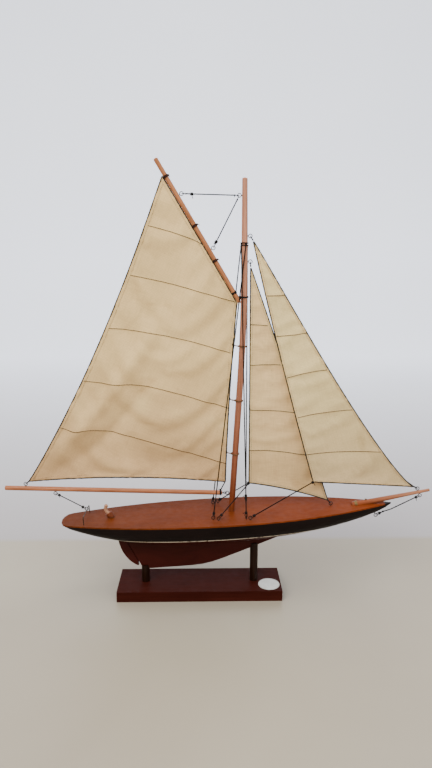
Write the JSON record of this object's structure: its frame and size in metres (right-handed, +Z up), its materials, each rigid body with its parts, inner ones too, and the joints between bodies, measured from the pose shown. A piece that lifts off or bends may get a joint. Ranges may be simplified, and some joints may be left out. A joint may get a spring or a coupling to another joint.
{
  "type": "model sailboat",
  "caption": "Wooden gaff-rigged model sailboat with cloth sails, long keel, bowsprit and hinged rudder, resting in a forked display stand.",
  "frame": {"origin": "centre of the stand base's underside, on the table", "axes": "+X towards the bow and bowsprit, +Y to port, +Z up"},
  "size_m": [0.5013, 0.0804, 0.4967],
  "materials": {
    "mahogany_gloss": "dark mahogany stain under gloss varnish",
    "label_paper": "matt white",
    "topside_paint": "gloss black paint on wood",
    "bottom_paint": "satin dark maroon paint on wood",
    "stripe_paint": "cream painted line",
    "deck_varnish": "gloss varnished reddish brown wood",
    "spar_wood": "satin varnished light reddish wood",
    "brass": "aged brass",
    "eye_steel": "dull bright wire",
    "twine": "dark waxed twine",
    "sailcloth": "khaki cotton sailcloth"
  },
  "bodies": {
    "stand": {"stand_base": "mahogany_gloss", "stand_post_fore": "mahogany_gloss", "stand_post_aft": "mahogany_gloss", "round_label": "label_paper"},
    "hull": {"hull_topsides": "topside_paint", "hull_bottom": "bottom_paint", "waterline_stripe": "stripe_paint", "stem_cap": "topside_paint", "deck": "deck_varnish", "keel": "bottom_paint", "mast_step": "spar_wood", "rudder_tube": "brass", "mast": "spar_wood", "mast_eyes": "eye_steel", "bowsprit": "spar_wood", "bowsprit_collar": "brass", "bowsprit_pin": "brass", "bowsprit_eyes": "eye_steel", "stem_eye": "eye_steel", "shroud_eyes": "eye_steel", "sheet_eyes": "eye_steel", "staysail_tack_eye": "eye_steel", "sheet_horse": "eye_steel", "shroud_starboard": "twine", "shroud_port": "twine", "bobstay": "twine", "jib": "sailcloth", "jib_ties": "twine", "jib_sheet": "twine", "staysail": "sailcloth", "staysail_ties": "twine", "staysail_sheet_starboard": "twine", "staysail_sheet_port": "twine"},
    "main_rig": {"boom": "spar_wood", "gooseneck_eye": "eye_steel", "boom_eyes": "eye_steel", "gaff": "spar_wood", "gaff_eyes": "eye_steel", "mainsail": "sailcloth", "mast_lashings": "twine", "gaff_lashings": "twine", "throat_lashing": "twine", "tack_tie": "twine", "clew_tie": "twine", "peak_halyard": "twine", "main_sheet": "twine", "traveller_ring": "eye_steel"},
    "rudder": {"rudder_blade": "bottom_paint", "rudder_stock": "brass", "rudder_head": "deck_varnish", "tiller": "deck_varnish"}
  },
  "joints": [
    {"name": "boat_lift", "type": "slide", "parent": "stand", "child": "hull", "axis": [0, 0, 1], "range_m": [0, 0.045]},
    {"name": "boom_swing", "type": "hinge", "parent": "hull", "child": "main_rig", "pos_m": [0.0384, 0, 0.102], "axis": [0.0318, 0, 0.9995], "range_deg": [-2.8, 7.2]},
    {"name": "rudder_turn", "type": "hinge", "parent": "hull", "child": "rudder", "pos_m": [-0.10387, 0, 0.09477], "axis": [-0.4583, 0, 0.8888], "range_deg": [-30, 30]}
  ]
}
